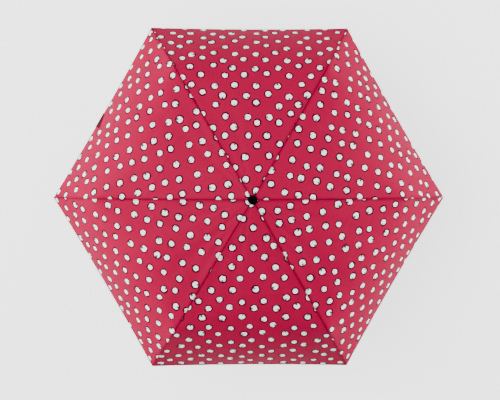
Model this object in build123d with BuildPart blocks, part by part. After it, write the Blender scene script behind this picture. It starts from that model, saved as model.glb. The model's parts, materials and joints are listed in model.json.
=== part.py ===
"""Children's folding umbrella: six three-section ribs on a three-section telescopic shaft.

Millimetres, +Z up, origin at the centre of the handle's bottom face, +X towards the first rib tip.
The umbrella stands open. Each rib is made in the XZ plane and turned about Z into its place.
"""

import os
from math import atan2, cos, degrees, hypot, radians, sin, sqrt

from build123d import *

# Ribs: lengths between pivots and slopes in degrees, open and folded
RIBS = 6
STEP = 360 / RIBS
TOP_LENGTH, MIDDLE_LENGTH, OUTER_LENGTH = 170.0, 165.0, 164.0
TOP_SLOPES = (-11.0, -88.0)
MIDDLE_SLOPES = (-20.0, 87.0)
OUTER_SLOPES = (-48.0, -89.0)

# Linkage: where the stretcher meets the top rib, its length, and the two crank arms
HINGE_Z = 520.0
CROWN_HINGE_R = 9.5
RUNNER_HINGE_R = 9.0
STRETCHER_PLACE = 70.0
STRETCHER_LENGTH = 100.0
STRETCHER_CRANK = 7.0
CRANK_ABOVE = -0.8
WIRE_PLACE = TOP_LENGTH - 5.0

# Pivots
PIN_R = 0.5
HOLE_R = 0.56
EYE_R = 1.3
SLIM_EYE_R = 1.1
HEAD_R = 0.95
HEAD_DEPTH, SLIM_HEAD_DEPTH = 0.2, 0.18
HEAD_GAP = 0.07
RIVET_R = 0.7

# Rib sections: half widths across the rib, from the inside outwards
WALL = 0.35
CHANNEL_DEPTH = 2.4
CHANNEL_MID = -2.2
TONGUE = 0.6
TOP_HALF = 1.2
TOP_INNER = TOP_HALF - WALL
MIDDLE_INNER, MIDDLE_HALF = 1.3, 1.7
STRETCHER_INNER, STRETCHER_HALF = 1.35, 1.75
FORK_INNER, FORK_OUTER = 1.85, 2.25
ROD_INNER, ROD_OUTER = 2.0, 2.6
WIRE_INNER, WIRE_OUTER = 2.4, 3.0
OUTER_ROD_R = 0.9

# Rib ends: reach along the rib from its pivot, height of the flat bars, lift of the channel's web
TONGUE_REACH, TONGUE_HEIGHT = 10.0, 2.4
TOP_START, TOP_CLEAR, WEB_LIFT = 7.5, 4.0, -1.0
LUG_REACH = 9.0
STRETCHER_START, STRETCHER_LIFT = 8.0, 1.2
STRETCHER_BLOCK = (6.6, 9.0)
STRETCHER_FORK, STRETCHER_FORK_LAP = 22.0, 6.0
MIDDLE_START, MIDDLE_CLEAR, MIDDLE_END_LIFT = 3.2, 2.0, 3.4
EAR_REACH, EAR_LIFT, EAR_HEIGHT = 5.0, 1.9, 2.4
OUTER_FORK, OUTER_FORK_HEIGHT, OUTER_EYE_REACH = 9.0, 1.8, 0.6
OUTER_BLOCK = (8.6, 12.0)
TAIL_HEIGHT, ROD_HEIGHT, WIRE_HEIGHT = 1.9, 1.5, 0.9
TIP_R, TIP_LENGTH, TIP_CLOSED = 1.8, 9.0, 2.0

# Shaft
LOWER_TUBE_R, MIDDLE_TUBE_R, UPPER_TUBE_R = 3.0, 4.0, 5.0
SLIDING_GAP = 0.05
FIT_GAP = 0.02
TUBE_WALL = 0.9
STAGE_TRAVEL = 124.0
STAGE_OVERLAP = 22.0
COLLAR_R, COLLAR_HEIGHT, COLLAR_EDGE = 6.0, 4.0, 1.0
REST_GAP = 0.3

# Handle
HANDLE_R, HANDLE_HEIGHT, HANDLE_EDGE = 14.0, 60.0, 2.0
HANDLE_SHOULDER, HANDLE_NECK_R, HANDLE_CURVE = 46.0, 8.0, 17.0
GROOVE_R, GROOVE_HEIGHTS = 0.8, (40.0, 43.5)
SOCKET_FLOOR = 22.0
END_CAP_R, END_CAP_HEIGHT, END_CAP_EDGE = 10.0, 3.0, 0.5

# Crown, cap and canopy
CROWN_R = 12.5
CROWN_TOP = HINGE_Z + 4.0
CROWN_BOTTOM = HINGE_Z - 5.5
CROWN_SLOT_R = 6.4
CROSS_PIN_R, CROSS_PIN_SHORT = 0.75, 0.5
PIN_Z = HINGE_Z - 3.4
LID_R, LID_HEIGHT, LID_EDGE = 11.5, 2.0, 0.8
CAP_R, CAP_HEIGHT, CAP_RIM, CAP_EDGE = 10.0, 7.0, 2.4, 0.5
STEM_R, STEM_BOTTOM = MIDDLE_TUBE_R, HINGE_Z - 2.0
SLOT_HALF = 0.8
WIRE_BEND = 2.5
CANOPY_THICKNESS = 0.5
CANOPY_GAP = 0.3
CANOPY_EYE_R, CANOPY_RIM = 5.0, 1.0
ELBOW_LIFT, KNEE_LIFT, TIP_LIFT, TIP_SHORT = 2.3, 4.4, 2.4, 1.0

# Runner, heights from its hinge ring
RUNNER_HEAD_R = 11.5
RUNNER_SLEEVE_R = 8.5
RUNNER_TOP, RUNNER_SHOULDER, RUNNER_BOTTOM = 4.0, -5.0, -26.0
RUNNER_SLOT_R, RUNNER_SLOT_FLOOR = 7.2, -2.0
FLANGE_R, FLANGE_HEIGHT = 10.5, 3.0
BUTTON_DROP = 14.0
BUTTON_R, BUTTON_EDGE = 3.0, 0.8
BUTTON_INNER, BUTTON_OUTER = 6.5, 10.2
BUTTON_AZIMUTH = STEP / 2

# Closing strap, hanging from the middle of one hem
STRAP_GORE = 2
STRAP_WIDTH, STRAP_LENGTH, STRAP_THICKNESS = 26.0, 58.0, 1.2
STRAP_INSET, STRAP_DROP = 3.5, 0.5

# Extra length of a cut beyond the face that it opens through
OVERCUT = 1.0


def at(point, slope, along=0.0, above=0.0):
    """Point of the rib plane, a distance along and above a line of the given slope."""
    turn = radians(slope)
    return (
        point[0] + along * cos(turn) - above * sin(turn),
        point[1] + along * sin(turn) + above * cos(turn),
    )


def slope_between(start, end):
    return degrees(atan2(end[1] - start[1], end[0] - start[0]))


def length_between(start, end):
    return hypot(end[0] - start[0], end[1] - start[1])


def crank_length(far_ends, pivots, slopes, above):
    """Crank arm for which the link to its far end is equally long open and folded."""
    reach, lean = [], []
    for far, pivot, slope in zip(far_ends, pivots, slopes):
        foot = at(pivot, slope, 0, above)
        away = at((0, 0), slope, -1)
        gap = (far[0] - foot[0], far[1] - foot[1])
        reach.append(gap[0] ** 2 + gap[1] ** 2)
        lean.append(gap[0] * away[0] + gap[1] * away[1])
    return (reach[0] - reach[1]) / (2 * (lean[0] - lean[1]))


# Pivots of one rib, each as (open, folded) points of the rib plane
CROWN_PIVOT = (CROWN_HINGE_R, HINGE_Z)
B = [at(CROWN_PIVOT, s, TOP_LENGTH) for s in TOP_SLOPES]
C = [at(b, s, MIDDLE_LENGTH) for b, s in zip(B, MIDDLE_SLOPES)]
D = [at(c, s, OUTER_LENGTH) for c, s in zip(C, OUTER_SLOPES)]
STRETCHER_TOP = [at(CROWN_PIVOT, s, STRETCHER_PLACE, CHANNEL_MID) for s in TOP_SLOPES]
RUNNER_PIVOT = [
    (RUNNER_HINGE_R, p[1] - sqrt(STRETCHER_LENGTH**2 - (p[0] - RUNNER_HINGE_R) ** 2))
    for p in STRETCHER_TOP
]
STRETCHER_SLOPES = [slope_between(r, s) for r, s in zip(RUNNER_PIVOT, STRETCHER_TOP)]
ROD_INNER_END = [
    at(r, s, STRETCHER_LENGTH - STRETCHER_CRANK) for r, s in zip(RUNNER_PIVOT, STRETCHER_SLOPES)
]
ROD_CRANK = crank_length(ROD_INNER_END, B, MIDDLE_SLOPES, CRANK_ABOVE)
ROD_PIVOT = [at(b, s, -ROD_CRANK, CRANK_ABOVE) for b, s in zip(B, MIDDLE_SLOPES)]
WIRE_PIVOT = [at(CROWN_PIVOT, s, WIRE_PLACE, CHANNEL_MID) for s in TOP_SLOPES]
WIRE_CRANK = crank_length(WIRE_PIVOT, C, OUTER_SLOPES, CRANK_ABOVE)
WIRE_OUTER_END = [at(c, s, -WIRE_CRANK, CRANK_ABOVE) for c, s in zip(C, OUTER_SLOPES)]

# Heights of the shaft, worked down from the crown and up from the handle
RUNNER_Z = RUNNER_PIVOT[0][1]
HANDLE_TOP = HANDLE_HEIGHT + COLLAR_HEIGHT
MIDDLE_TUBE_BOTTOM = HANDLE_TOP + REST_GAP + STAGE_TRAVEL
UPPER_TUBE_BOTTOM = HANDLE_TOP + COLLAR_HEIGHT + 2 * REST_GAP + 2 * STAGE_TRAVEL
CANOPY_Z = CROWN_TOP + LID_HEIGHT + CANOPY_GAP
CAP_Z = CANOPY_Z + CANOPY_THICKNESS + CANOPY_GAP

os.makedirs("parts", exist_ok=True)


def rib_plane(point, slope, side=0.0):
    """Sketch plane at a point of the rib plane: X along the slope, Y to its upper side."""
    turn = radians(slope)
    return Plane(origin=(point[0], side, point[1]), x_dir=(cos(turn), 0, sin(turn)), z_dir=(0, -1, 0))


def bar(start, end, height, low, high, mode=Mode.ADD):
    """Round-ended flat bar from one point of the rib plane to another, from low to high in Y."""
    run = length_between(start, end)
    with BuildSketch(rib_plane(start, slope_between(start, end), low)) as face:
        with Locations((run / 2, 0)):
            SlotCenterToCenter(run, height)
    extrude(face.sketch, amount=low - high, mode=mode)


def both_bars(start, end, height, inner, outer):
    bar(start, end, height, inner, outer)
    bar(start, end, height, -outer, -inner)


def pin(point, radius, low, high, mode=Mode.ADD):
    """Round pin, or with Mode.SUBTRACT a hole, across the rib plane from low to high in Y."""
    with BuildSketch(rib_plane(point, 0, low)) as face:
        Circle(radius)
    extrude(face.sketch, amount=low - high, mode=mode)


def channel(start, end, half, inner, depth=CHANNEL_DEPTH):
    """Bent-sheet channel, open below, with the top of its web along a line of the rib plane."""
    run = length_between(start, end)
    slope = slope_between(start, end)
    with BuildSketch(rib_plane(start, slope, -half)) as body:
        Rectangle(run, depth, align=(Align.MIN, Align.MAX))
    extrude(body.sketch, amount=-2 * half)
    with BuildSketch(rib_plane(at(start, slope, 0, -WALL), slope, -inner)) as hollow:
        Rectangle(run, depth, align=(Align.MIN, Align.MAX))
    extrude(hollow.sketch, amount=-2 * inner, mode=Mode.SUBTRACT)


def write(part, name):
    part.label = name
    export_step(part, f"parts/{name}.step")


def write_ring(part, name):
    """Write the same piece once for each rib, turned into its place."""
    for index in range(RIBS):
        write(part.rotate(Axis.Z, index * STEP), f"{name}_{index + 1}")


def tube(radius, bore, bottom, top):
    with BuildSketch(Plane.XY.offset(bottom)) as face:
        Circle(radius)
        Circle(bore, mode=Mode.SUBTRACT)
    extrude(face.sketch, amount=top - bottom)


def hinge_wire(apothem, height, radius, mode=Mode.ADD):
    """Six-sided wire ring whose straight sides are the hinge pins of the ribs."""
    with BuildSketch(Plane.XY.offset(height), mode=Mode.PRIVATE) as outline:
        RegularPolygon(apothem, RIBS, major_radius=False, rotation=STEP / 2)
        fillet(outline.vertices(), WIRE_BEND)
    path = outline.sketch.face().outer_wire()
    with BuildSketch(Plane(origin=path @ 0, z_dir=path % 0)) as face:
        Circle(radius)
    sweep(face.sketch, path=path, mode=mode)


def rib_slots(inner_r, outer_r, bottom, top):
    """Radial slots, one for each rib, open at the rim and at the top."""
    with BuildSketch(Plane.XY.offset(bottom)) as face:
        with PolarLocations((inner_r + outer_r) / 2 + OVERCUT, RIBS):
            Rectangle(outer_r - inner_r + 2 * OVERCUT, 2 * SLOT_HALF)
    extrude(face.sketch, amount=top - bottom + OVERCUT, mode=Mode.SUBTRACT)


# Top rib: eye on the crown wire, channel, lug for the middle rib, stud for the wire link
with BuildPart() as top_rib:
    slope = TOP_SLOPES[0]
    web = (at(CROWN_PIVOT, slope, TOP_START, WEB_LIFT), at(B[0], slope, -TOP_CLEAR, WEB_LIFT))
    channel(*web, TOP_HALF, TOP_INNER)
    tongue_end = at(CROWN_PIVOT, slope, TONGUE_REACH, CHANNEL_MID)
    bar(CROWN_PIVOT, tongue_end, TONGUE_HEIGHT, -TONGUE, TONGUE)
    pin(CROWN_PIVOT, EYE_R, -TONGUE, TONGUE)
    bar(at(B[0], slope, -LUG_REACH, CHANNEL_MID), B[0], 2 * EYE_R, -TOP_INNER, TOP_INNER)
    pin(CROWN_PIVOT, HOLE_R, -TONGUE, TONGUE, Mode.SUBTRACT)
    pin(B[0], HOLE_R, -TOP_INNER, TOP_INNER, Mode.SUBTRACT)
    pin(STRETCHER_TOP[0], RIVET_R, -TOP_HALF, TOP_HALF)
    pin(WIRE_PIVOT[0], PIN_R, -WIRE_OUTER - HEAD_DEPTH, -TOP_INNER)
    pin(WIRE_PIVOT[0], HEAD_R, -WIRE_OUTER - HEAD_DEPTH, -WIRE_OUTER - FIT_GAP)
write_ring(top_rib.part, "top_rib")

# Stretcher: tongue on the runner wire, channel, fork that straddles the top rib
with BuildPart() as stretcher:
    slope = STRETCHER_SLOPES[0]
    lower, upper = RUNNER_PIVOT[0], STRETCHER_TOP[0]
    fork_foot = at(upper, slope, -STRETCHER_FORK)
    both_bars(at(fork_foot, slope, -STRETCHER_FORK_LAP), upper, 2 * SLIM_EYE_R,
              STRETCHER_INNER, STRETCHER_HALF)
    web = (at(lower, slope, STRETCHER_START, STRETCHER_LIFT), at(fork_foot, slope, 0, STRETCHER_LIFT))
    channel(*web, STRETCHER_HALF, STRETCHER_INNER)
    block = [at(lower, slope, along) for along in STRETCHER_BLOCK]
    bar(*block, 2 * SLIM_EYE_R, -STRETCHER_HALF, STRETCHER_HALF)
    bar(lower, at(lower, slope, STRETCHER_START), 2 * SLIM_EYE_R, -TONGUE, TONGUE)
    pin(lower, EYE_R, -TONGUE, TONGUE)
    pin(lower, HOLE_R, -TONGUE, TONGUE, Mode.SUBTRACT)
    pin(upper, HEAD_R, STRETCHER_HALF, ROD_INNER - HEAD_GAP)
    pin(upper, HEAD_R, HEAD_GAP - ROD_INNER, -STRETCHER_HALF)
write_ring(stretcher.part, "stretcher")

# Middle rib: fork and rivet at the top rib, crank ear for the control rod, ears for the outer rib
with BuildPart() as middle_rib:
    slope = MIDDLE_SLOPES[0]
    lug_foot = at(B[0], slope, LUG_REACH, CHANNEL_MID)
    both_bars(B[0], lug_foot, 2 * EYE_R, MIDDLE_INNER, MIDDLE_HALF)
    ear_foot = at(C[0], slope, -EAR_REACH, EAR_LIFT)
    both_bars(ear_foot, C[0], EAR_HEIGHT, MIDDLE_INNER, MIDDLE_HALF)
    web = (at(B[0], slope, MIDDLE_START, WEB_LIFT), at(C[0], slope, -MIDDLE_CLEAR, MIDDLE_END_LIFT))
    channel(*web, MIDDLE_HALF, MIDDLE_INNER)
    bar(B[0], ROD_PIVOT[0], EAR_HEIGHT, MIDDLE_INNER, MIDDLE_HALF)
    pin(ROD_PIVOT[0], PIN_R, MIDDLE_INNER, ROD_OUTER + HEAD_DEPTH)
    pin(ROD_PIVOT[0], HEAD_R, ROD_OUTER + FIT_GAP, ROD_OUTER + HEAD_DEPTH)
    pin(B[0], PIN_R, -MIDDLE_HALF, MIDDLE_HALF)
    pin(B[0], HEAD_R, MIDDLE_HALF, MIDDLE_HALF + SLIM_HEAD_DEPTH)
    pin(B[0], HEAD_R, -MIDDLE_HALF - SLIM_HEAD_DEPTH, -MIDDLE_HALF)
    pin(C[0], HOLE_R, -MIDDLE_HALF, MIDDLE_HALF, Mode.SUBTRACT)
write_ring(middle_rib.part, "middle_rib")

# Outer rib: fork over the middle rib's ears, crank tail for the wire link, round rod
with BuildPart() as outer_rib:
    slope = OUTER_SLOPES[0]
    rod_foot = at(C[0], slope, OUTER_FORK)
    both_bars(C[0], rod_foot, OUTER_FORK_HEIGHT, FORK_INNER, FORK_OUTER)
    eye_foot = at(C[0], slope, OUTER_EYE_REACH)
    both_bars(C[0], eye_foot, 2 * SLIM_EYE_R, FORK_INNER, FORK_OUTER)
    block = [at(C[0], slope, along) for along in OUTER_BLOCK]
    bar(*block, OUTER_FORK_HEIGHT, -FORK_OUTER, FORK_OUTER)
    bar(C[0], WIRE_OUTER_END[0], TAIL_HEIGHT, -FORK_OUTER, -FORK_INNER)
    pin(C[0], PIN_R, -FORK_OUTER, FORK_OUTER)
    turn = radians(slope)
    with BuildSketch(Plane(origin=(rod_foot[0], 0, rod_foot[1]), z_dir=(cos(turn), 0, sin(turn)))):
        Circle(OUTER_ROD_R)
    extrude(amount=OUTER_LENGTH - OUTER_FORK)
write_ring(outer_rib.part, "outer_rib")

# Rib tip: moulded cap over the end of the outer rib
with BuildPart() as rib_tip:
    tip_foot = at(D[0], OUTER_SLOPES[0], TIP_CLOSED - TIP_LENGTH)
    tip_plane = rib_plane(tip_foot, OUTER_SLOPES[0])
    with BuildSketch(tip_plane):
        with BuildLine():
            bore, floor = OUTER_ROD_R + FIT_GAP, TIP_LENGTH - TIP_CLOSED + FIT_GAP
            Polyline((0, bore), (0, TIP_R), (TIP_LENGTH - TIP_R, TIP_R))
            RadiusArc((TIP_LENGTH - TIP_R, TIP_R), (TIP_LENGTH, 0), TIP_R)
            Polyline((TIP_LENGTH, 0), (floor, 0), (floor, bore), (0, bore))
        make_face()
    revolve(axis=Axis(tip_plane.origin, tip_plane.x_dir))
write_ring(rib_tip.part, "rib_tip")

# Control rod: from the middle rib's crank ear back to the stretcher
with BuildPart() as control_rod:
    bar(ROD_PIVOT[0], ROD_INNER_END[0], ROD_HEIGHT, ROD_INNER, ROD_OUTER)
    pin(ROD_PIVOT[0], EYE_R, ROD_INNER, ROD_OUTER)
    pin(ROD_INNER_END[0], EYE_R, ROD_INNER, ROD_OUTER)
    pin(ROD_INNER_END[0], HEAD_R, ROD_OUTER, ROD_OUTER + HEAD_DEPTH)
    pin(ROD_PIVOT[0], HOLE_R, ROD_INNER, ROD_OUTER, Mode.SUBTRACT)
write_ring(control_rod.part, "control_rod")

# Wire link: from the top rib's stud out to the outer rib's crank tail
with BuildPart() as wire_link:
    bar(WIRE_PIVOT[0], WIRE_OUTER_END[0], WIRE_HEIGHT, -WIRE_OUTER, -WIRE_INNER)
    pin(WIRE_PIVOT[0], EYE_R, -WIRE_OUTER, -WIRE_INNER)
    pin(WIRE_OUTER_END[0], EYE_R, -WIRE_OUTER, -WIRE_INNER)
    pin(WIRE_OUTER_END[0], HEAD_R, -WIRE_OUTER - HEAD_DEPTH, -WIRE_OUTER)
    pin(WIRE_PIVOT[0], HOLE_R, -WIRE_OUTER, -WIRE_INNER, Mode.SUBTRACT)
write_ring(wire_link.part, "wire_link")

# Handle: round grip with a shallow recess below and a socket for the lower tube
with BuildPart() as handle:
    recess_r, socket_r, flat_r = END_CAP_R + FIT_GAP, LOWER_TUBE_R + FIT_GAP, HANDLE_R - HANDLE_EDGE
    with BuildSketch(Plane.XZ):
        with BuildLine():
            Polyline((0, END_CAP_HEIGHT), (recess_r, END_CAP_HEIGHT), (recess_r, 0), (flat_r, 0))
            RadiusArc((flat_r, 0), (HANDLE_R, HANDLE_EDGE), -HANDLE_EDGE)
            Line((HANDLE_R, HANDLE_EDGE), (HANDLE_R, HANDLE_SHOULDER))
            RadiusArc((HANDLE_R, HANDLE_SHOULDER), (HANDLE_NECK_R, HANDLE_HEIGHT), -HANDLE_CURVE)
            Polyline(
                (HANDLE_NECK_R, HANDLE_HEIGHT), (socket_r, HANDLE_HEIGHT), (socket_r, SOCKET_FLOOR),
                (0, SOCKET_FLOOR), (0, END_CAP_HEIGHT),
            )
        make_face()
    revolve(axis=Axis.Z)
    with BuildSketch(Plane.XZ):
        with Locations(*[(HANDLE_R, height) for height in GROOVE_HEIGHTS]):
            Circle(GROOVE_R)
    revolve(axis=Axis.Z, mode=Mode.SUBTRACT)
write(handle.part, "handle")

with BuildPart() as handle_end_cap:
    with BuildSketch():
        Circle(END_CAP_R)
    extrude(amount=END_CAP_HEIGHT - FIT_GAP)
    fillet(handle_end_cap.faces().sort_by(Axis.Z)[-1].edges(), END_CAP_EDGE)
write(handle_end_cap.part, "handle_end_cap")

with BuildPart() as handle_collar:
    tube(COLLAR_R, LOWER_TUBE_R + FIT_GAP, HANDLE_HEIGHT, HANDLE_TOP)
    fillet(handle_collar.faces().sort_by(Axis.Z)[-1].edges().sort_by(SortBy.LENGTH)[-1], COLLAR_EDGE)
write(handle_collar.part, "handle_collar")

# Shaft: three tubes, the thinnest in the handle, the widest at the crown
with BuildPart() as lower_tube:
    tube(LOWER_TUBE_R, LOWER_TUBE_R - TUBE_WALL, SOCKET_FLOOR, MIDDLE_TUBE_BOTTOM + STAGE_OVERLAP)
write(lower_tube.part, "lower_tube")

with BuildPart() as middle_tube:
    tube(MIDDLE_TUBE_R, LOWER_TUBE_R + SLIDING_GAP, MIDDLE_TUBE_BOTTOM, UPPER_TUBE_BOTTOM + STAGE_OVERLAP)
write(middle_tube.part, "middle_tube")

with BuildPart() as middle_collar:
    tube(UPPER_TUBE_R, MIDDLE_TUBE_R + FIT_GAP, MIDDLE_TUBE_BOTTOM, MIDDLE_TUBE_BOTTOM + COLLAR_HEIGHT)
write(middle_collar.part, "middle_collar")


def cross_hole(radius, half_length, mode):
    """Cross pin, or its hole, between two ribs through the crown and the upper tube."""
    middle_line = Plane(origin=(0, 0, PIN_Z), z_dir=Vector(1, 0, 0).rotate(Axis.Z, STEP / 2))
    with BuildSketch(middle_line.offset(-half_length)) as face:
        Circle(radius)
    extrude(face.sketch, amount=2 * half_length, mode=mode)


with BuildPart() as upper_tube:
    tube(UPPER_TUBE_R, MIDDLE_TUBE_R + SLIDING_GAP, UPPER_TUBE_BOTTOM, CROWN_TOP)
    cross_hole(CROSS_PIN_R + FIT_GAP, UPPER_TUBE_R + OVERCUT, Mode.SUBTRACT)
write(upper_tube.part, "upper_tube")

with BuildPart() as upper_collar:
    tube(COLLAR_R, UPPER_TUBE_R + FIT_GAP, UPPER_TUBE_BOTTOM, UPPER_TUBE_BOTTOM + COLLAR_HEIGHT)
    fillet(upper_collar.faces().sort_by(Axis.Z)[0].edges().sort_by(SortBy.LENGTH)[-1], COLLAR_EDGE / 2)
write(upper_collar.part, "upper_collar")

# Crown: slotted hub with its hinge wire, held by a cross pin, closed by a lid
with BuildPart() as crown:
    tube(CROWN_R, UPPER_TUBE_R + FIT_GAP, CROWN_BOTTOM, CROWN_TOP)
    rib_slots(CROWN_SLOT_R, CROWN_R, CROWN_BOTTOM - OVERCUT, CROWN_TOP)
    hinge_wire(CROWN_HINGE_R, HINGE_Z, PIN_R + FIT_GAP, Mode.SUBTRACT)
    cross_hole(CROSS_PIN_R + FIT_GAP, CROWN_R + OVERCUT, Mode.SUBTRACT)
write(crown.part, "crown")

with BuildPart() as crown_wire:
    hinge_wire(CROWN_HINGE_R, HINGE_Z, PIN_R)
write(crown_wire.part, "crown_wire")

with BuildPart() as crown_pin:
    cross_hole(CROSS_PIN_R, CROWN_R - CROSS_PIN_SHORT, Mode.ADD)
write(crown_pin.part, "crown_pin")

with BuildPart() as crown_lid:
    tube(LID_R, STEM_R + SLIDING_GAP, CROWN_TOP, CROWN_TOP + LID_HEIGHT)
    fillet(crown_lid.faces().sort_by(Axis.Z)[-1].edges().sort_by(SortBy.LENGTH)[-1], LID_EDGE)
write(crown_lid.part, "crown_lid")

# Top cap: low dome over the middle of the canopy, on a stem in the upper tube
with BuildPart() as top_cap:
    with BuildSketch(Plane.XZ):
        with BuildLine():
            Polyline(
                (0, CAP_Z + CAP_HEIGHT), (0, STEM_BOTTOM), (STEM_R, STEM_BOTTOM), (STEM_R, CAP_Z),
                (CAP_R - CAP_EDGE, CAP_Z), (CAP_R, CAP_Z + CAP_EDGE), (CAP_R, CAP_Z + CAP_RIM),
            )
            TangentArc((0, CAP_Z + CAP_HEIGHT), (CAP_R, CAP_Z + CAP_RIM), tangent=(1, 0))
        make_face()
    revolve(axis=Axis.Z)
write(top_cap.part, "top_cap")

# Runner: slotted head with its hinge wire, sleeve, finger flange and thumb button
with BuildPart() as runner:
    bore = UPPER_TUBE_R + SLIDING_GAP
    tube(RUNNER_HEAD_R, bore, RUNNER_Z + RUNNER_SHOULDER, RUNNER_Z + RUNNER_TOP)
    tube(RUNNER_SLEEVE_R, bore, RUNNER_Z + RUNNER_BOTTOM, RUNNER_Z + RUNNER_SHOULDER)
    tube(FLANGE_R, bore, RUNNER_Z + RUNNER_BOTTOM, RUNNER_Z + RUNNER_BOTTOM + FLANGE_HEIGHT)
    rib_slots(RUNNER_SLOT_R, RUNNER_HEAD_R, RUNNER_Z + RUNNER_SLOT_FLOOR, RUNNER_Z + RUNNER_TOP)
    hinge_wire(RUNNER_HINGE_R, RUNNER_Z, PIN_R + FIT_GAP, Mode.SUBTRACT)
    button_axis = Vector(1, 0, 0).rotate(Axis.Z, BUTTON_AZIMUTH)
    button_plane = Plane(origin=(0, 0, RUNNER_Z - BUTTON_DROP), z_dir=button_axis)
    with BuildSketch(button_plane):
        Circle(BUTTON_R + SLIDING_GAP)
    extrude(amount=RUNNER_HEAD_R, mode=Mode.SUBTRACT)
write(runner.part, "runner")

with BuildPart() as runner_wire:
    hinge_wire(RUNNER_HINGE_R, RUNNER_Z, PIN_R)
write(runner_wire.part, "runner_wire")

with BuildPart() as runner_button:
    with BuildSketch(button_plane.offset(BUTTON_INNER)):
        Circle(BUTTON_R)
    extrude(amount=BUTTON_OUTER - BUTTON_INNER)
    fillet(runner_button.edges().sort_by(Axis(button_plane.origin, button_axis))[-1], BUTTON_EDGE)
write(runner_button.part, "runner_button")

# Canopy: a thin closed shell over the ribs, six gores joined along the ribs
RIDGE = [
    (CANOPY_EYE_R, CANOPY_Z),
    (CROWN_R + CANOPY_RIM, CANOPY_Z),
    at(B[0], (TOP_SLOPES[0] + MIDDLE_SLOPES[0]) / 2, 0, ELBOW_LIFT),
    at(C[0], (MIDDLE_SLOPES[0] + OUTER_SLOPES[0]) / 2, 0, KNEE_LIFT),
    at(D[0], OUTER_SLOPES[0], -TIP_SHORT, TIP_LIFT),
]


def raised(points, thickness):
    """The same ridge line, moved up square to its local slope."""
    slopes = [slope_between(p, q) for p, q in zip(points, points[1:])]
    joints = [slopes[0]] + [(p + q) / 2 for p, q in zip(slopes, slopes[1:])] + [slopes[-1]]
    return [at(p, s, 0, thickness) for p, s in zip(points, joints)]


def ridge_face(azimuth):
    """Section of the canopy along one rib."""
    outline = Plane(origin=(0, 0, 0), x_dir=Vector(1, 0, 0).rotate(Axis.Z, azimuth),
                    z_dir=Vector(0, -1, 0).rotate(Axis.Z, azimuth))
    upper = raised(RIDGE, CANOPY_THICKNESS)
    with BuildSketch(outline) as section:
        with BuildLine():
            Polyline(*RIDGE, *reversed(upper), close=True)
        make_face()
    return section.sketch.faces()[0]


with BuildPart() as canopy:
    for index in range(RIBS):
        loft(sections=[ridge_face(index * STEP), ridge_face((index + 1) * STEP)], ruled=True)
write(canopy.part, "canopy")

# Closing strap: a flat band hanging under the middle of one hem
HEM_R = RIDGE[-1][0] * cos(radians(STEP / 2))
STRAP_AZIMUTH = (STRAP_GORE + 0.5) * STEP
with BuildPart() as closing_strap:
    strap_out = Vector(1, 0, 0).rotate(Axis.Z, STRAP_AZIMUTH)
    strap_plane = Plane(origin=strap_out * (HEM_R - STRAP_INSET) + Vector(0, 0, RIDGE[-1][1] - STRAP_DROP),
                        x_dir=strap_out, z_dir=strap_out.rotate(Axis.Z, -90))
    with BuildSketch(strap_plane.offset(-STRAP_WIDTH / 2)):
        Rectangle(STRAP_THICKNESS, STRAP_LENGTH, align=(Align.CENTER, Align.MAX))
    extrude(amount=STRAP_WIDTH)
write(closing_strap.part, "closing_strap")
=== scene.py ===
import json
import math

import bmesh
import bpy
import numpy as np
from bpy.props import FloatProperty, FloatVectorProperty, PointerProperty
from mathutils import Matrix, Vector


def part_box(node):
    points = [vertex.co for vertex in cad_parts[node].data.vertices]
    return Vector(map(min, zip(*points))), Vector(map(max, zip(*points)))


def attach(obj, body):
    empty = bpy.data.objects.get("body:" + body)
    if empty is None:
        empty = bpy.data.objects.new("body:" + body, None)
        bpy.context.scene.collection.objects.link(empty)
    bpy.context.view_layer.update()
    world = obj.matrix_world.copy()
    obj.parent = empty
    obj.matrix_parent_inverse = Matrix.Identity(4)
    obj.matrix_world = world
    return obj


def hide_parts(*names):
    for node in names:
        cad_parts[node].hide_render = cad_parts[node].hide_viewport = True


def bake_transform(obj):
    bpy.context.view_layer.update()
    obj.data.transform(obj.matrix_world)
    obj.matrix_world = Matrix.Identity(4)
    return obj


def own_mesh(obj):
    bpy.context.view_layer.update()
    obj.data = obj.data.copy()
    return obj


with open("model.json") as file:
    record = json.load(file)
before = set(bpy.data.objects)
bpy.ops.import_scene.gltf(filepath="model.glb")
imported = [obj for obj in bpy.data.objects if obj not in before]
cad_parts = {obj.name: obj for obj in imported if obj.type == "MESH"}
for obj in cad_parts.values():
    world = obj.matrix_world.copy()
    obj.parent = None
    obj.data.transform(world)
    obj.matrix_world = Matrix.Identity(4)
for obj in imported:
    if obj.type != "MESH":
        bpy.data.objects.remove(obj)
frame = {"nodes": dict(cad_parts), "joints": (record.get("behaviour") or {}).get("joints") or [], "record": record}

bl_info = {
    "name": "Children's folding umbrella",
    "version": (1, 0, 0),
    "blender": (4, 5, 0),
    "location": "View3D > Sidebar > Umbrella",
    "description": "Canopy, strap and finishes for a six-rib folding umbrella",
    "category": "Object",
}

RIBS = 6
HALF_TURN = math.pi / RIBS
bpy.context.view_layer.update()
JOINT = {joint["name"]: joint for joint in frame["joints"]}
MM = 0.001


def rib_point(joint_name):
    """A hinge of the first rib as a point (radius, height) of its plane, in metres."""
    x, _, z = JOINT[joint_name]["pos_m"]
    return np.array((x, z))


def toward(start, end):
    """Unit direction from one point to another."""
    run = np.asarray(end, float) - np.asarray(start, float)
    return run / np.linalg.norm(run)


HUB = rib_point("top_rib_hinge_1")
ELBOW = rib_point("middle_rib_hinge_1")
KNEE = rib_point("outer_rib_hinge_1")
CLOTH_LOW, CLOTH_HIGH = (np.array(corner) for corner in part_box("canopy"))
TIP = np.array((CLOTH_HIGH[0] - 0.4 * MM, CLOTH_LOW[2] + 0.6 * MM))
CROWN_FLAT = 13.5 * MM

# Print: how far its outlines wander, in metres, and how far each dot's mark is off centre, in pitches
DOT_WOBBLE = 0.0036
MARK_REACH = 0.145

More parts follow.
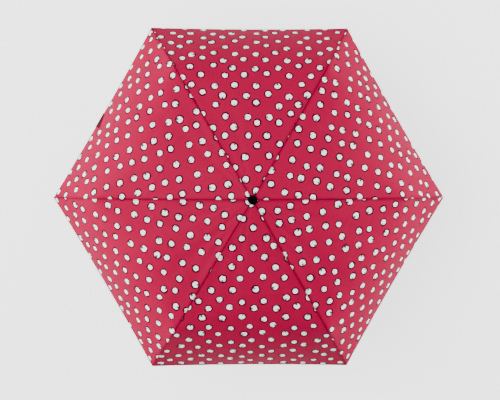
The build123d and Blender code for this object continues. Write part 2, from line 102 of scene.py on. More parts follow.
# Packing folds across a panel: distance from the hub in metres, and depth in millimetres
CROSS_FOLDS = ((0.076, 0.4), (0.118, -0.45), (0.196, 0.55), (0.241, -0.4), (0.325, 0.5))

# Sewn strap end: share of half a panel that it covers, and its depth up the hem at each end
STRAP_END_SHARE = 0.155
STRAP_END_NARROW, STRAP_END_WIDE = 3.0 * MM, 10.0 * MM

# Camera: distance from the rim's centre in metres, and lens in millimetres
CAMERA_REACH = 2.36
CAMERA_LENS = 74.9


class UmbrellaSizes(bpy.types.PropertyGroup):
    """Sizes of the sewn and printed cloth"""

    dot_pitch: FloatProperty(
        name="Dot pitch", description="Distance between neighbouring printed dots",
        default=0.0325, min=0.01, unit="LENGTH")
    dot_radius: FloatProperty(
        name="Dot radius", description="Radius of a printed dot inside its outline",
        default=0.0064, min=0.001, unit="LENGTH")
    hem: FloatProperty(
        name="Hem width", description="Width of the hem turned under along the edge",
        default=0.007, min=0.002, unit="LENGTH")
    cloth: FloatProperty(
        name="Cloth thickness", description="Thickness of the canopy cloth",
        default=0.0004, min=0.0001, unit="LENGTH")
    rounding: FloatProperty(
        name="Panel rounding", description="How far each panel smooths the bend that its ribs make",
        default=0.062, min=0.005, unit="LENGTH")
    folded_width: FloatProperty(
        name="Folded width",
        description="Share of a panel's width that it keeps when the umbrella is folded",
        default=0.1, min=0.01, max=1.0, subtype="FACTOR")


class UmbrellaColours(bpy.types.PropertyGroup):
    """Colours of the cloth and the mouldings, in linear light"""

    cloth: FloatVectorProperty(
        name="Cloth", description="Ground colour of the canopy cloth",
        default=(0.285, 0.0004, 0.034), size=3, min=0, max=1, subtype="COLOR")
    print_pale: FloatVectorProperty(
        name="Dots", description="Colour of the printed dots",
        default=(0.92, 0.89, 0.9), size=3, min=0, max=1, subtype="COLOR")
    print_dark: FloatVectorProperty(
        name="Outlines", description="Colour of the printed outlines and flecks",
        default=(0.012, 0.003, 0.005), size=3, min=0, max=1, subtype="COLOR")
    strap: FloatVectorProperty(
        name="Strap", description="Colour of the closing strap",
        default=(0.035, 0.002, 0.006), size=3, min=0, max=1, subtype="COLOR")
    moulding: FloatVectorProperty(
        name="Mouldings", description="Colour of the handle, hub and cap",
        default=(0.0022, 0.0022, 0.0025), size=3, min=0, max=1, subtype="COLOR")
    steel: FloatVectorProperty(
        name="Steel", description="Colour of the plated ribs and tubes",
        default=(0.58, 0.58, 0.6), size=3, min=0, max=1, subtype="COLOR")


# Materials

class Nodes:
    """Short hand for building one material's node tree."""

    def __init__(self, name):
        self.material = bpy.data.materials.new(name)
        self.material.use_nodes = True
        self.tree = self.material.node_tree
        self.shader = self.tree.nodes["Principled BSDF"]

    def put(self, socket, value):
        """Link a socket to another node's output, or set its value."""
        if isinstance(value, bpy.types.NodeSocket):
            self.tree.links.new(value, socket)
        else:
            socket.default_value = value

    def add(self, kind, inputs=(), **settings):
        """New node of one kind, with its inputs by name or place."""
        node = self.tree.nodes.new(kind)
        for key, value in settings.items():
            setattr(node, key, value)
        for key, value in dict(inputs).items():
            self.put(node.inputs[key], value)
        return node

    def maths(self, operation, *values):
        return self.add("ShaderNodeMath", enumerate(values), operation=operation).outputs[0]

    def vector(self, operation, *values, output=0):
        """Result of one step of vector maths."""
        node = self.add("ShaderNodeVectorMath", enumerate(values), operation=operation)
        return node.outputs[output]

    def mix(self, share, first, second):
        """Colour between two, by a share from 0 to 1."""
        node = self.add("ShaderNodeMix", data_type="RGBA")
        self.put(node.inputs[0], share)
        for socket, colour in ((node.inputs[6], first), (node.inputs[7], second)):
            self.put(socket, colour if isinstance(colour, bpy.types.NodeSocket) else (*colour, 1))
        return node.outputs[2]

    def ramp(self, value, low, high, start=0.0, end=1.0):
        """Value carried from low..high to start..end, held at both ends."""
        inputs = {0: value, 1: low, 2: high, 3: start, 4: end}
        return self.add("ShaderNodeMapRange", inputs).outputs[0]

    def noise(self, vector, scale, detail=2.0, rough=0.5):
        inputs = {"Vector": vector, "Scale": scale, "Detail": detail, "Roughness": rough}
        return self.add("ShaderNodeTexNoise", inputs)

    def set(self, **values):
        """Set the shader's own sockets, with spaces for underscores."""
        for key, value in values.items():
            self.put(self.shader.inputs[key.replace("_", " ")], value)

    def bump(self, height, distance, strength=1.0, under=None):
        inputs = {"Height": height, "Distance": distance, "Strength": strength}
        node = self.add("ShaderNodeBump", inputs)
        if under:
            self.put(node.inputs["Normal"], under)
        return node.outputs[0]


def woven_height(nodes, cloth_map, threads):
    """Height of a plain weave with so many threads a metre."""
    place = nodes.add("ShaderNodeSeparateXYZ", {0: cloth_map})
    across = nodes.maths("SINE", nodes.maths("MULTIPLY", place.outputs[0], threads * math.pi))
    along = nodes.maths("SINE", nodes.maths("MULTIPLY", place.outputs[1], threads * math.pi))
    return nodes.maths("MULTIPLY", across, along)


def stitch_share(nodes, edge_map, across, line, pitch):
    """1 on the dashes of a line of stitches, along one side of the edge map."""
    place = nodes.add("ShaderNodeSeparateXYZ", {0: edge_map})
    off = nodes.maths("ABSOLUTE", nodes.maths("SUBTRACT", place.outputs[across], line))
    near = nodes.maths("LESS_THAN", off, 0.35 * MM)
    run = nodes.maths("FRACT", nodes.maths("MULTIPLY", place.outputs[1 - across], 1 / pitch))
    return nodes.maths("MULTIPLY", near, nodes.maths("LESS_THAN", run, 0.68))


def scaled(colour, share, lift=0.0):
    """Colour made darker or paler, each part held at 1 or less."""
    return tuple(min(1, share * part + lift) for part in colour)


def printed_cloth(name, sizes, colours, fade):
    """Printed polyester: jittered pale dots with rough dark outlines, a mark each and stray flecks; stitching, a
    dark seam line and a band of painted shade along each rib.
    """
    nodes = Nodes(name)
    cloth_map = nodes.add("ShaderNodeUVMap", uv_map="cloth").outputs[0]
    edge_map = nodes.add("ShaderNodeUVMap", uv_map="edge").outputs[0]
    wobble = nodes.noise(cloth_map, 190.0, 1.0).outputs["Color"]
    centred = nodes.vector("SUBTRACT", wobble, (0.5, 0.5, 0.5))
    shifted = nodes.vector("MULTIPLY_ADD", centred, (DOT_WOBBLE,) * 3, cloth_map)
    turned = nodes.add(
        "ShaderNodeMapping",
        {"Vector": shifted, "Rotation": (0, 0, math.pi / 4), "Scale": (1 / sizes.dot_pitch,) * 3})
    dots = nodes.add(
        "ShaderNodeTexVoronoi", {"Vector": turned.outputs[0], "Scale": 1.0, "Randomness": 0.34},
        voronoi_dimensions="2D")
    place = nodes.add("ShaderNodeSeparateColor", {0: dots.outputs["Color"]})
    reach = nodes.maths("MULTIPLY", dots.outputs["Distance"], sizes.dot_pitch)
    ragged = nodes.noise(cloth_map, 620.0, 2.0).outputs[0]
    rough = nodes.maths("MULTIPLY_ADD", ragged, 0.0011, -0.00055)
    size = nodes.maths("MULTIPLY_ADD", place.outputs[0], 0.0012, sizes.dot_radius - 0.0006)
    gap = nodes.maths("ADD", nodes.maths("SUBTRACT", reach, size), rough)
    pale = nodes.ramp(gap, 0.0, -0.0004)
    line = nodes.maths("MULTIPLY_ADD", place.outputs[1], 0.0009, 0.0020)
    outline = nodes.ramp(nodes.maths("SUBTRACT", gap, line), 0.0003, -0.0003)
    scatter = nodes.noise(cloth_map, 330.0, 1.0).outputs[0]
    busy = nodes.maths("GREATER_THAN", place.outputs[2], 0.9)
    limit = nodes.maths("MULTIPLY_ADD", busy, -0.09, 0.70)
    speck = nodes.ramp(nodes.maths("SUBTRACT", scatter, limit), 0.0, 0.015)
    ring = nodes.maths("MULTIPLY", speck, nodes.ramp(gap, -0.0046, -0.0036))
    inside = nodes.vector("SUBTRACT", turned.outputs[0], dots.outputs["Position"])
    heading = nodes.maths("MULTIPLY", place.outputs[1], 6 * math.pi)
    aim = nodes.add("ShaderNodeCombineXYZ",
                    {0: nodes.maths("COSINE", heading), 1: nodes.maths("SINE", heading)}).outputs[0]
    lean = nodes.vector("DOT_PRODUCT", inside, aim, output="Value")
    rounded = nodes.ramp(lean, 0.02, 0.2, 0.0, 0.42)
    spot = nodes.vector("MULTIPLY", aim, (MARK_REACH,) * 3)
    spot_gap = nodes.vector("DISTANCE", inside, spot, output="Value")
    spot_size = nodes.maths("MULTIPLY_ADD", place.outputs[0], 0.07, 0.012)
    mark = nodes.ramp(nodes.maths("SUBTRACT", spot_gap, spot_size), 0.012, -0.012, 0.0, 0.95)
    cloudy = nodes.noise(cloth_map, 14.0, 3.0).outputs[0]
    shade = nodes.ramp(cloudy, 0.3, 0.7, 0.0, 0.16)
    ground = nodes.mix(shade, tuple(colours.cloth), scaled(colours.cloth, 0.72))
    dark = nodes.mix(fade, tuple(colours.print_dark), tuple(colours.cloth))
    bright = nodes.mix(fade, tuple(colours.print_pale), scaled(colours.cloth, 0.5, 0.5))
    colour = nodes.mix(outline, ground, dark)
    shaded = nodes.mix(rounded, bright, scaled(colours.print_pale, 0.45))
    shaded = nodes.mix(mark, shaded, dark)
    colour = nodes.mix(pale, colour, shaded)
    flecked = nodes.maths("MULTIPLY", nodes.maths("MULTIPLY", ring, pale), 0.8)
    colour = nodes.mix(flecked, colour, dark)
    hem_line = stitch_share(nodes, edge_map, 1, sizes.hem - 1.4 * MM, 2.6 * MM)
    seam_line = stitch_share(nodes, edge_map, 0, 2.6 * MM, 2.8 * MM)
    sewn = nodes.maths("MAXIMUM", hem_line, seam_line)
    colour = nodes.mix(nodes.maths("MULTIPLY", sewn, 0.55), colour, scaled(colours.cloth, 0.45))
    # Darkening along each rib: a thin dark seam line that the cloth has, and a wider soft band of painted shade
    # reaching 8 mm from the rib.
    rib_gap = nodes.add("ShaderNodeSeparateXYZ", {0: edge_map}).outputs[0]
    seam_and_painted_shade = nodes.maths("MAXIMUM", nodes.ramp(rib_gap, 0.5 * MM, 1.1 * MM, 0.8, 0.0),
                       nodes.ramp(rib_gap, 0.0, 8 * MM, 0.22, 0.0))
    colour = nodes.mix(seam_and_painted_shade, colour, scaled(colours.cloth, 0.12))
    creased = nodes.noise(edge_map, 34.0, 3.0, 0.6).outputs[0]
    soft = nodes.bump(creased, 0.9 * MM, 0.35)
    thread = nodes.bump(sewn, 0.25 * MM, 0.8, soft)
    weave = nodes.bump(woven_height(nodes, cloth_map, 2200.0), 0.05 * MM, 0.35, thread)
    nodes.set(Base_Color=colour, Normal=weave, Roughness=0.55, Specular_IOR_Level=0.02,
              Sheen_Weight=0.01, Sheen_Roughness=0.4, Sheen_Tint=(1.0, 0.25, 0.4, 1))
    return nodes.material


def plain_cloth(name, colour, threads):
    """Woven tape or thread in one colour."""
    nodes = Nodes(name)
    place = nodes.add("ShaderNodeTexCoord").outputs["Object"]
    worn = nodes.ramp(nodes.noise(place, 240.0, 3.0).outputs[0], 0.35, 0.7)
    rows = nodes.add(
        "ShaderNodeTexWave", {"Vector": place, "Scale": threads, "Distortion": 0.4},
        bands_direction="DIAGONAL")
    nodes.set(Base_Color=nodes.mix(worn, tuple(colour), scaled(colour, 1.7, 0.001)),
              Normal=nodes.bump(rows.outputs[0], 0.12 * MM, 0.6), Roughness=0.8, Sheen_Weight=0.01,
              Specular_IOR_Level=0.03)
    return nodes.material


def moulded(name, colour, roughness, grain, depth, shine=0.2):
    """Moulded plastic with a fine spark-eroded grain and slightly paler worn patches."""
    nodes = Nodes(name)
    place = nodes.add("ShaderNodeTexCoord").outputs["Object"]
    worn = nodes.ramp(nodes.noise(place, 55.0, 4.0, 0.6).outputs[0], 0.5, 0.75, 0.0, 0.35)
    pitted = nodes.noise(place, grain, 2.0).outputs[0]
    patches = nodes.noise(place, 130.0, 3.0).outputs[0]
    rubbed = nodes.ramp(patches, 0.3, 0.7, roughness - 0.07, roughness + 0.09)
    nodes.set(Base_Color=nodes.mix(worn, tuple(colour), scaled(colour, 1.8)),
              Normal=nodes.bump(pitted, depth, 0.5), Roughness=rubbed, Specular_IOR_Level=shine)
    return nodes.material


def plated(name, colour, roughness, drawn):
    """Plated steel with fine drawing lines and a little staining."""
    nodes = Nodes(name)
    place = nodes.add("ShaderNodeTexCoord").outputs["Object"]
    stain = nodes.ramp(nodes.noise(place, 70.0, 4.0, 0.6).outputs[0], 0.45, 0.75, 0.0, 0.4)
    patches = nodes.noise(place, 260.0, 3.0).outputs[0]
    rubbed = nodes.ramp(patches, 0.3, 0.7, roughness - 0.06, roughness + 0.1)
    lines = nodes.noise(place, drawn, 2.0, 0.7).outputs[0]
    nodes.set(Base_Color=nodes.mix(stain, tuple(colour), scaled(colour, 0.72)),
              Metallic=1.0, Roughness=rubbed, Normal=nodes.bump(lines, 0.03 * MM, 0.25))
    return nodes.material


def paint_node(name, material):
    """Give a CAD node its finish without touching its mesh."""
    node = frame["nodes"][name]
    if not node.material_slots:
        node.data.materials.append(material)
    for place in node.material_slots:
        place.link = "OBJECT"
        place.material = material


# Canopy surface

def profile(radius, spread):
    """Height of the cloth over the rib line, averaged over a window each side of the radius."""
    lift_elbow = ELBOW + 3.1 * MM * np.array((0.26, 0.965))
    lift_knee = KNEE + 5.2 * MM * np.array((0.56, 0.83))
    line_r = np.array((0.0, 14 * MM, lift_elbow[0], lift_knee[0], TIP[0], 1.4 * TIP[0]))
    last = (TIP[1] - lift_knee[1]) / (TIP[0] - lift_knee[0])
    line_z = np.array((
        CLOTH_HIGH[2], CLOTH_HIGH[2], lift_elbow[1], lift_knee[1], TIP[1],
        TIP[1] + 0.4 * TIP[0] * last))
    offsets = np.linspace(-1, 1, 25)
    samples = np.abs(radius[..., None] + spread[..., None] * offsets)
    return np.interp(samples, line_r, line_z).mean(axis=-1)


def middle_height(along, edge):
    """Height of the cloth along a panel's middle line, curling down more and more to the hem."""
    bend = 0.35
    steep, gentle = 2.0, 0.22
    drop = (CLOTH_HIGH[2] - TIP[1]) / edge
    power = (steep - gentle) * (1 - bend) / (drop - gentle) - 1
    past = np.clip(along / edge - bend, 0, None) / (1 - bend)
    curl = (steep - gentle) * (1 - bend) * past ** (power + 1) / (power + 1)
    level = 0.5 * CROWN_FLAT
    start = np.maximum(along - level, 0) ** 2 / (np.maximum(along - level, 0) + level)
    return CLOTH_HIGH[2] - gentle * start * edge / (edge - level) - edge * curl


def cloth_point(along, share, sizes):
    """Point of one panel: distance along its middle line, and share from the middle to a rib.

    The panel's middle line is +X. The share runs from 0 on the middle line to 1 on the rib.
    """
    edge = TIP[0] * math.cos(HALF_TURN)
    to_edge = np.clip((edge - along) / edge, 0, 1)
    window = sizes.rounding * (1 - share) ** 0.8 + 5 * MM
    window = np.minimum(window, np.minimum(0.8 * along + 1 * MM, 0.98 * (edge - along) + 0.2 * MM))
    height = profile(along / math.cos(HALF_TURN), window)
    height = height + (middle_height(along, edge) - height) * (1 - share**2)
    half = along * math.tan(HALF_TURN)
    rib_gap = (1 - share) * half
    groove = 1.1 * MM * np.exp(-((rib_gap / (2.2 * MM)) ** 2)) * np.clip(along / 0.03, 0, 1)
    pull = 3.2 * MM * (1 - share**2) * (1 - to_edge) ** 5
    across = np.clip(rib_gap / np.maximum(half, 1e-6), 0, 1)
    swell = 2.2 * MM * np.sin(np.pi * across) * (1 - to_edge) * to_edge * 4
    ripple = pleats(along, rib_gap, half)
    return np.stack((along - pull, share * half, height - groove - swell + ripple), axis=-1)


def pleats(along, rib_gap, half):
    """Shallow folds left by packing: some run out from the hub, some cross the panel."""
    turn = rib_gap / np.maximum(half, 1e-6)
    rays = np.cos(2 * np.pi * 2.5 * turn) * np.clip(along / 0.1, 0, 1) * 0.5 * MM
    across = sum(
        depth * MM * np.exp(-((along - place - 0.05 * rib_gap) / (3.2 * MM)) ** 2)
        for place, depth in CROSS_FOLDS
    )
    return (rays + across) * np.clip(rib_gap / 0.02, 0, 1)


def cloth_normal(along, share, sizes):
    """Upward unit normal of the panel, from small steps each way."""
    step = 0.4 * MM
    share_step = 0.004
    low_share = np.clip(share - share_step, 0, 1)
    high_share = np.clip(share + share_step, 0, 1)
    behind = np.maximum(along - step, 1e-5)
    run = cloth_point(along + step, share, sizes) - cloth_point(behind, share, sizes)
    side = cloth_point(along, high_share, sizes) - cloth_point(along, low_share, sizes)
    normal = np.cross(run, side)
    return normal / np.linalg.norm(normal, axis=-1, keepdims=True)


def along_at_joint(share, joint_point, slope_before, slope_after, sizes):
    """Distance along the panel's middle where the cloth crosses a rib joint's dividing plane."""
    plane = slope_before + slope_after
    low = np.full_like(share, 0.02)
    high = np.full_like(share, TIP[0] * math.cos(HALF_TURN) - 0.02)
    for _ in range(40):
        middle = (low + high) / 2
        point = cloth_point(middle, share, sizes)
        reach = point[..., 0] * math.cos(HALF_TURN) + point[..., 1] * math.sin(HALF_TURN)
        side = (reach - joint_point[0]) * plane[0] + (point[..., 2] - joint_point[1]) * plane[1]
        low, high = np.where(side < 0, middle, low), np.where(side < 0, high, middle)
    return (low + high) / 2


# Cloth sections from the hub out: name, the rib they follow, its hinge, and the ends of their slope
SECTIONS = (
    ("hub", "top", "top_rib_hinge", HUB, ELBOW),
    ("top", "top", "top_rib_hinge", HUB, ELBOW),
    ("middle", "middle", "middle_rib_hinge", ELBOW, KNEE),
    ("knee", "middle", "outer_rib_hinge", ELBOW, KNEE),
    ("outer", "outer", "outer_rib_hinge", KNEE, TIP),
)
OUTER = len(SECTIONS) - 1


def section_rows(share, section, sizes):
    """Distances along the panel for the rows of one section, for each column's share."""
    top, middle, outer = toward(HUB, ELBOW), toward(ELBOW, KNEE), toward(KNEE, TIP)
    edge = TIP[0] * math.cos(HALF_TURN)
    elbow = along_at_joint(share, ELBOW, top, middle, sizes)
    knee = along_at_joint(share, KNEE, middle, outer, sizes)
    fold = np.full_like(share, (KNEE[0] - 4 * MM) * math.cos(HALF_TURN))
    hub_ends = [np.full_like(share, reach) for reach in (5 * MM, 20 * MM)]
    ends = (*hub_ends, elbow, fold, knee, np.full_like(share, edge))
    start, end = ends[section], ends[section + 1]
    steps = np.linspace(0, 1, (8, 26, 22, 9, 25)[section])[:, None]
    rows = start + (end - start) * steps
    if section == OUTER:
        hem = np.array((1.0, 0.82, 0.4, 0.12, 0.0))[:, None] * sizes.hem
        inner = start + (edge - 1.2 * sizes.hem - start) * steps
        rows = np.concatenate((inner, edge - hem * np.ones_like(share)))
    return rows


def column_shares():
    """Shares of the columns from the middle line to the rib, closer together near the rib."""
    wide = np.linspace(0, 0.93, 19)
    return np.concatenate((wide, (0.955, 0.972, 0.983, 0.991, 0.996, 1.0)))


def cloth_piece(name, gore, side, section, sizes):
    """One piece of half a panel, as a closed thin sheet with its print and edge maps."""
    share = column_shares()
    rows = section_rows(share, section, sizes)
    shares = np.broadcast_to(share, rows.shape)
    point = cloth_point(rows, shares, sizes)
    normal = cloth_normal(rows, shares, sizes)
    edge = TIP[0] * math.cos(HALF_TURN)
    hem_gap = edge - rows
    rib_gap = (1 - shares) * rows * math.tan(HALF_TURN)
    turned = 1 / (1 + np.exp((hem_gap - sizes.hem) / (0.35 * MM)))
    lapped = 1 / (1 + np.exp((rib_gap - 5 * MM) / (0.3 * MM)))
    outside = point + normal * (0.3 * MM * turned)[..., None]
    inside = point - normal * (sizes.cloth + 0.35 * MM * turned + 0.3 * MM * lapped)[..., None]
    for block in (outside, inside, normal):
        block[..., 1] *= side
    azimuth = HALF_TURN * (2 * gore + 1)
    turn = np.array(Matrix.Rotation(azimuth, 3, "Z"))
    outside, inside, normal = outside @ turn.T, inside @ turn.T, normal @ turn.T
    cloth_map = np.stack((side * shares * rows * math.tan(HALF_TURN) + 0.731 * gore,
                          flat_length(rows, sizes) + 0.417 * gore), axis=-1)
    edge_map = np.stack((rib_gap, hem_gap), axis=-1)
    return sheet_mesh(name, outside, inside, normal, cloth_map, edge_map, side)


def flat_length(along, sizes):
    """Length of cloth from the hub out to a distance along the panel's middle line."""
    steps = np.linspace(1e-4, TIP[0] * math.cos(HALF_TURN), 400)
    line = cloth_point(steps, np.zeros_like(steps), sizes)
    length = np.concatenate(((0,), np.cumsum(np.linalg.norm(np.diff(line, axis=0), axis=1))))
    return np.interp(along, steps, length)


def sheet_mesh(name, outside, inside, normal, cloth_map, edge_map, side):
    """Closed sheet from two grids of points, with smooth normals taken from the whole surface."""
    rows, columns = outside.shape[:2]
    count = rows * columns
    index = np.arange(count).reshape(rows, columns)
    corners = (index[:-1, :-1], index[1:, :-1], index[1:, 1:], index[:-1, 1:])
    quads = np.stack(corners, axis=-1).reshape(-1, 4)
    if side < 0:
        quads = quads[:, ::-1]
    rim = np.concatenate((index[:-1, 0], index[-1, :-1], index[:0:-1, -1], index[0, :0:-1]))
    if side < 0:
        rim = rim[::-1]
    after = np.roll(rim, -1)
    walls = np.stack((rim, rim + count, after + count, after), axis=-1)
    faces = np.concatenate((quads, quads[:, ::-1] + count, walls))
    points = np.concatenate((outside.reshape(-1, 3), inside.reshape(-1, 3)))
    mesh = bpy.data.meshes.new(name)
    mesh.from_pydata(points.tolist(), [], faces.tolist())
    for map_name, values in (("cloth", cloth_map), ("edge", edge_map)):
        layer = mesh.uv_layers.new(name=map_name)
        both = np.concatenate((values.reshape(-1, 2),) * 2)
        loops = np.empty(len(mesh.loops), dtype=np.int32)
        mesh.loops.foreach_get("vertex_index", loops)
        layer.data.foreach_set("uv", both[loops].ravel())
    mesh.polygons.foreach_set("use_smooth", [True] * len(mesh.polygons))
    mesh.polygons.foreach_set(
        "material_index", [0] * len(quads) + [1] * len(quads) + [0] * len(walls))
    up = normal.reshape(-1, 3)
    mesh.validate()
    mesh.normals_split_custom_set_from_vertices(np.concatenate((up, -up)).tolist())
    piece = bpy.data.objects.new(name, mesh)
    bpy.context.collection.objects.link(piece)
    return piece


def rib_number(gore, side):
    return (gore if side < 0 else gore + 1) % RIBS + 1


def sew_canopy(sizes, colours):
    """The whole canopy: six panels, each as two halves that follow their own ribs."""
    face = printed_cloth("printed cloth face", sizes, colours, 0.0)
    back = printed_cloth("printed cloth back", sizes, colours, 0.35)
    for gore in range(RIBS):
        for side in (-1, 1):
            rib = rib_number(gore, side)
            hand = "left" if side < 0 else "right"
            for section, (section_name, rib_name, hinge, start, end) in enumerate(SECTIONS):
                piece = cloth_piece(
                    f"canopy_panel_{gore + 1}_{hand}_{section_name}", gore, side, section, sizes)
                piece.data.materials.append(face)
                piece.data.materials.append(back)
                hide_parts("canopy")
                if section_name == "hub":
                    hang_from_hub(piece)
                else:
                    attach(piece, f"{rib_name}_rib_body_{rib}")
                    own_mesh(piece)


def hang_from_hub(piece):
    """Cloth around the crown: bake its placement into its mesh."""
    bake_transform(piece)


# Stage

def soft_light(name, place, aim, size, power):
    data = bpy.data.lights.new(name, "AREA")
    data.shape = "RECTANGLE"
    data.size, data.size_y = size
    data.energy = power
    light = bpy.data.objects.new(name, data)
    light.location = place
    light.rotation_euler = (Vector(aim) - Vector(place)).to_track_quat("-Z", "Y").to_euler()
    bpy.context.collection.objects.link(light)


def lay_floor():
    mesh = bpy.data.meshes.new("floor")
    reach = 7.0
    rows = 8
    step = 2 * reach / rows
    points = [
        (x * step - reach, y * step - reach, -1 * MM) for y in range(rows + 1) for x in range(rows + 1)
    ]
    row = rows + 1
    starts = [y * row + x for y in range(rows) for x in range(rows)]
    faces = [(at, at + 1, at + row + 1, at + row) for at in starts]
    mesh.from_pydata(points, [], faces)
    floor = bpy.data.objects.new("floor", mesh)
    bpy.context.collection.objects.link(floor)
    nodes = Nodes("pale floor")
    nodes.set(Base_Color=(0.93, 0.93, 0.93, 1), Roughness=0.9, Specular_IOR_Level=0.1,
              Emission_Color=(1, 1, 1, 1), Emission_Strength=1.2)
    mesh.materials.append(nodes.material)


def set_world():
    world = bpy.data.worlds.new("studio")
    world.use_nodes = True
    tree = world.node_tree
    background = tree.nodes["Background"]
    background.inputs[0].default_value = (1, 1, 1, 1)
    place = tree.nodes.new("ShaderNodeTexCoord")
    height = tree.nodes.new("ShaderNodeSeparateXYZ")
    glow = tree.nodes.new("ShaderNodeMapRange")
    tree.links.new(place.outputs["Generated"], height.inputs[0])
    tree.links.new(height.outputs[2], glow.inputs[0])
    for socket, value in zip(glow.inputs[1:5], (0.02, 0.2, 1.6, 0.34)):
        socket.default_value = value
    tree.links.new(glow.outputs[0], background.inputs[1])
    bpy.context.scene.world = world


def set_camera():
    """Camera nearly straight above, leaning so that the cap sits right of and below centre."""
    rim = Vector((0.0, 0.0, float(TIP[1])))
    lean_x, lean_y = math.radians(-1.6), math.radians(1.4)
    away = Vector((math.sin(lean_x), math.sin(lean_y), 1)).normalized()
    data = bpy.data.cameras.new("camera")
    data.sensor_width = 36
    data.lens = CAMERA_LENS
    data.clip_end = 30
    camera = bpy.data.objects.new("camera", data)
    place = rim + away * CAMERA_REACH
    across = Vector((0, 1, 0)).cross(away).normalized()
    upward = away.cross(across)
    turn = Matrix((across, upward, away)).transposed().to_4x4()
    camera.matrix_world = Matrix.Translation(place) @ turn
    data.shift_x = 0.0006
    data.shift_y = -0.005
    bpy.context.collection.objects.link(camera)
    bpy.context.scene.camera = camera


# Operators

class UmbrellaOperator:
    """Shared settings of the umbrella's operators"""

    bl_options = {"REGISTER", "UNDO"}

    @property
    def sizes(self):
        return bpy.context.scene.umbrella_sizes

    @property
    def colours(self):
        return bpy.context.scene.umbrella_colours


class UMBRELLA_OT_stage(UmbrellaOperator, bpy.types.Operator):
    """Lay the floor, hang the lights and set the camera"""

    bl_idname = "umbrella.stage"
    bl_label = "Stage"

    def execute(self, context):
        lay_floor()
        set_world()
        set_camera()
        soft_light("left soft box", (-2.6, 0.3, 1.1), (0, 0, 0.4), (1.4, 1.0), 112)
        soft_light("right soft box", (2.6, 0.3, 1.1), (0, 0, 0.4), (1.4, 1.0), 126)
        soft_light("overhead soft box", (-1.2, 0.15, 3.3), (0, 0, 0.3), (2.2, 2.2), 128)
        return {"FINISHED"}


class UMBRELLA_OT_canopy(UmbrellaOperator, bpy.types.Operator):
    """Sew the printed canopy over the ribs"""

    bl_idname = "umbrella.canopy"
    bl_label = "Canopy"

    def execute(self, context):
        sew_canopy(self.sizes, self.colours)
        return {"FINISHED"}


class UMBRELLA_OT_finishes(UmbrellaOperator, bpy.types.Operator):
    """Give the frame's own pieces their finishes"""

    bl_idname = "umbrella.finishes"
    bl_label = "Finishes"

    def execute(self, context):
        colours = self.colours
        black = moulded("moulded hub", colours.moulding, 0.5, 900.0, 0.04 * MM)
        grip = moulded("textured grip", colours.moulding, 0.58, 620.0, 0.1 * MM)
        cap = moulded("matt cap", scaled(colours.moulding, 0.3), 0.75, 1100.0, 0.05 * MM, 0.01)
        tip = moulded("rib tip", (0.012, 0.002, 0.004), 0.6, 1200.0, 0.03 * MM, 0.03)
        button = moulded("thumb button", (0.5, 0.02, 0.06), 0.35, 1200.0, 0.02 * MM)
        ribs = plated("plated ribs", colours.steel, 0.34, 1500.0)
        tubes = plated("plated tubes", scaled(colours.steel, 1.3), 0.2, 900.0)
        finish = {
            "grip_plastic": grip, "cap_plastic": cap, "black_plastic": black, "tip_plastic": tip,
            "button_plastic": button, "bright_steel": tubes, "rib_steel": ribs,
        }
        for part in frame["record"]["subparts"]:
            if part["material_slot"] in finish:
                paint_node(part["node"], finish[part["material_slot"]])
        return {"FINISHED"}


class UMBRELLA_OT_strap(UmbrellaOperator, bpy.types.Operator):
    """Hang the closing strap from its hem"""

    bl_idname = "umbrella.strap"
    bl_label = "Closing strap"

    def execute(self, context):
        make_strap(self.sizes, self.colours)
        return {"FINISHED"}


def make_strap(sizes, colours):
    """Flat band that hangs from the hem, a little curled, and its end sewn along the hem."""
    low, high = (Vector(corner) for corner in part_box("closing_strap"))
    middle = (low + high) / 2
    out = Vector((middle.x, middle.y, 0)).normalized()
    side = Vector((-out.y, out.x, 0))
    width = 26.0 * MM
    thickness = 1.0 * MM
    drop = high.z - low.z
    rows, columns = 30, 13
    mesh = bpy.data.meshes.new("closing_band")
    points, places = [], []
    for layer in (1, -1):
        for row in range(rows):
            fall = row / (rows - 1)
            curl = 3.2 * MM * math.sin(2.6 * fall) - 1.2 * MM
            for column in range(columns):
                across = column / (columns - 1) - 0.5
                cup = 1.1 * MM * math.cos(math.pi * across) * fall
                rim = min(fall, 1 - fall, 0.5 - abs(across))
                thick = thickness * 0.5 * (1 if rim > 0.02 else 0.6)
                place = Vector((middle.x, middle.y, high.z - fall * drop))
                place += side * across * width + out * (curl + cup + layer * thick)
                points.append(place)
                places.append((across * width, fall * drop))
    count = rows * columns
    grid = [
        (r * columns + c, r * columns + c + 1, (r + 1) * columns + c + 1, (r + 1) * columns + c)
        for r in range(rows - 1) for c in range(columns - 1)
    ]
    rim = [c for c in range(columns)] + [r * columns + columns - 1 for r in range(1, rows)]
    rim += [(rows - 1) * columns + c for c in range(columns - 2, -1, -1)]
    rim += [r * columns for r in range(rows - 2, 0, -1)]
    walls = [(a, a + count, b + count, b) for a, b in zip(rim, rim[1:] + rim[:1])]
    faces = [tuple(reversed(f)) for f in grid] + [tuple(i + count for i in f) for f in grid]
    mesh.from_pydata(points, [], faces + walls)
    shell = bmesh.new()
    shell.from_mesh(mesh)
    bmesh.ops.recalc_face_normals(shell, faces=shell.faces)
    shell.to_mesh(mesh)
    shell.free()
    mesh.polygons.foreach_set("use_smooth", [True] * len(mesh.polygons))
    band = bpy.data.objects.new("closing_band", mesh)
    bpy.context.collection.objects.link(band)
    webbing = plain_cloth("strap webbing", colours.strap, 900.0)
    mesh.materials.append(webbing)
    gore = int(math.degrees(math.atan2(out.y, out.x)) // 60) % RIBS
    rib = rib_number(gore, 1)
    sewn_end = strap_end(gore, sizes)
    sewn_end.data.materials.append(webbing)
    sewn_end.data.materials.append(webbing)
    for piece in (band, sewn_end):
        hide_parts("closing_strap")
        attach(piece, f"outer_rib_body_{rib}")
        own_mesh(piece)


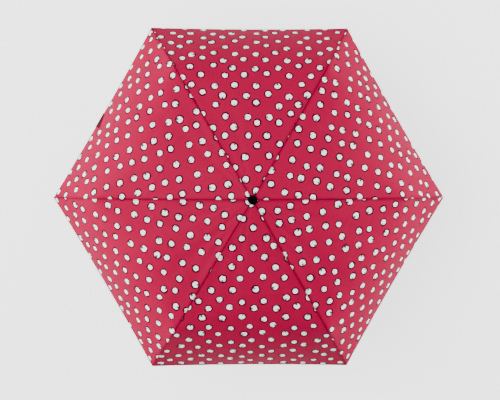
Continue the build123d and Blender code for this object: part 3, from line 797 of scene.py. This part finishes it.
def strap_end(gore, sizes):
    """End of the strap, sewn flat on the outside of the hem and narrowing to the panel's middle."""
    edge = TIP[0] * math.cos(HALF_TURN)
    share = np.linspace(0.0, STRAP_END_SHARE, 19)
    depth = STRAP_END_NARROW + (STRAP_END_WIDE - STRAP_END_NARROW) * share / STRAP_END_SHARE
    rows = edge - depth * np.linspace(1, 0, 7)[:, None]
    shares = np.broadcast_to(share, rows.shape)
    point = cloth_point(rows, shares, sizes)
    normal = cloth_normal(rows, shares, sizes)
    turn = np.array(Matrix.Rotation(HALF_TURN * (2 * gore + 1), 3, "Z"))
    outside = (point + normal * 1.3 * MM) @ turn.T
    inside = (point + normal * 0.6 * MM) @ turn.T
    cloth_map = np.stack((shares * rows * math.tan(HALF_TURN), flat_length(rows, sizes)), axis=-1)
    edge_map = np.stack((shares * rows, edge - rows), axis=-1)
    return sheet_mesh("closing_band_end", outside, inside, normal @ turn.T, cloth_map, edge_map, 1)


class UMBRELLA_PT_panel(bpy.types.Panel):
    """Sidebar panel that lists the umbrella's pieces"""

    bl_idname = "UMBRELLA_PT_panel"
    bl_label = "Folding umbrella"
    bl_space_type = "VIEW_3D"
    bl_region_type = "UI"
    bl_category = "Umbrella"

    def draw(self, context):
        for group in (context.scene.umbrella_sizes, context.scene.umbrella_colours):
            box = self.layout.box()
            for name in group.bl_rna.properties.keys():
                if name not in {"rna_type", "name"}:
                    box.prop(group, name)
        for operator in OPERATORS:
            self.layout.operator(operator.bl_idname)


OPERATORS = (
    UMBRELLA_OT_stage,
    UMBRELLA_OT_finishes,
    UMBRELLA_OT_canopy,
    UMBRELLA_OT_strap,
)
CLASSES = (UmbrellaSizes, UmbrellaColours, *OPERATORS, UMBRELLA_PT_panel)


def register():
    for item in CLASSES:
        bpy.utils.register_class(item)
    bpy.types.Scene.umbrella_sizes = PointerProperty(type=UmbrellaSizes)
    bpy.types.Scene.umbrella_colours = PointerProperty(type=UmbrellaColours)


def unregister():
    del bpy.types.Scene.umbrella_colours
    del bpy.types.Scene.umbrella_sizes
    for item in reversed(CLASSES):
        bpy.utils.unregister_class(item)


def main():
    register()
    bpy.ops.umbrella.stage()
    bpy.ops.umbrella.finishes()
    bpy.ops.umbrella.canopy()
    bpy.ops.umbrella.strap()


if __name__ == "__main__":
    main()
